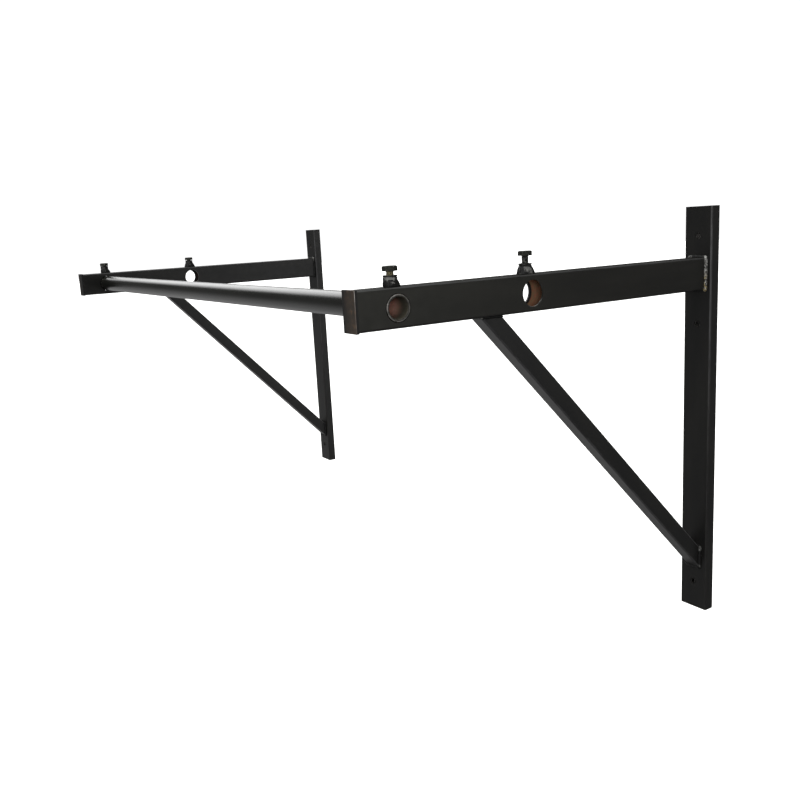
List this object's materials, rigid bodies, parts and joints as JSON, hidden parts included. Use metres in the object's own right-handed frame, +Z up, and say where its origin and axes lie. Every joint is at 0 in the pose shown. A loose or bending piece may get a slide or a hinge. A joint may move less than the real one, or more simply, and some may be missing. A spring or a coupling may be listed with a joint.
{
  "type": "wall-mounted pull up bar",
  "caption": "Wall-mounted pull up bar: welded tube brackets with diagonal braces carry a removable steel pipe, held in round seats by hexagon clamp screws.",
  "frame": {"origin": "centre of the four outer wall-bolt holes, on the wall plane that the backs of both uprights lie on", "axes": "+X along the bar to the right as seen facing the wall, +Y into the wall, +Z up"},
  "size_m": [1.35, 0.65, 0.66],
  "materials": {
    "bracket_paint": "satin black paint over square tube, worn to bright steel along the corners",
    "bar_paint": "smooth satin black paint on pipe, bare at the cut ends and rusty inside",
    "cap_rust": "thin dark paint over brown rust, with a worn light edge",
    "weld_metal": "rippled weld bead, partly painted",
    "nut_steel": "oiled dull steel with paint overspray",
    "screw_steel": "darkened zinc-plated steel, yellowish on the thread"
  },
  "bodies": {
    "brackets": {"upright_left": "bracket_paint", "arm_left": "bracket_paint", "brace_left": "bracket_paint", "arm_end_cap_left": "cap_rust", "arm_weld_left": "weld_metal", "brace_foot_weld_left": "weld_metal", "brace_top_weld_left": "weld_metal", "clamp_nut_front_left": "nut_steel", "nut_weld_front_left": "weld_metal", "clamp_washer_front_left": "nut_steel", "clamp_nut_rear_left": "nut_steel", "nut_weld_rear_left": "weld_metal", "clamp_washer_rear_left": "nut_steel", "upright_right": "bracket_paint", "arm_right": "bracket_paint", "brace_right": "bracket_paint", "arm_end_cap_right": "cap_rust", "arm_weld_right": "weld_metal", "brace_foot_weld_right": "weld_metal", "brace_top_weld_right": "weld_metal", "clamp_nut_front_right": "nut_steel", "nut_weld_front_right": "weld_metal", "clamp_washer_front_right": "nut_steel", "clamp_nut_rear_right": "nut_steel", "nut_weld_rear_right": "weld_metal", "clamp_washer_rear_right": "nut_steel"},
    "bar": {"pull_up_bar": "bar_paint"},
    "clamp_screw_front_left": {"clamp_screw_front_left": "screw_steel"},
    "clamp_screw_front_right": {"clamp_screw_front_right": "screw_steel"},
    "clamp_screw_rear_left": {"clamp_screw_rear_left": "screw_steel"},
    "clamp_screw_rear_right": {"clamp_screw_rear_right": "screw_steel"}
  },
  "joints": [
    {"name": "bar_draw_out", "type": "slide", "parent": "brackets", "child": "bar", "axis": [1, 0, 0], "range_m": [-1.335, 1.335]},
    {"name": "screw_travel_front_left", "type": "slide", "parent": "brackets", "child": "clamp_screw_front_left", "axis": [0, 0, 1], "range_m": [0, 0.0198]},
    {"name": "screw_travel_front_right", "type": "slide", "parent": "brackets", "child": "clamp_screw_front_right", "axis": [0, 0, 1], "range_m": [-0.0019, 0.0154]},
    {"name": "screw_travel_rear_left", "type": "slide", "parent": "brackets", "child": "clamp_screw_rear_left", "axis": [0, 0, 1], "range_m": [-0.0012, 0.0191]},
    {"name": "screw_travel_rear_right", "type": "slide", "parent": "brackets", "child": "clamp_screw_rear_right", "axis": [0, 0, 1], "range_m": [-0.0102, 0.0101]}
  ]
}
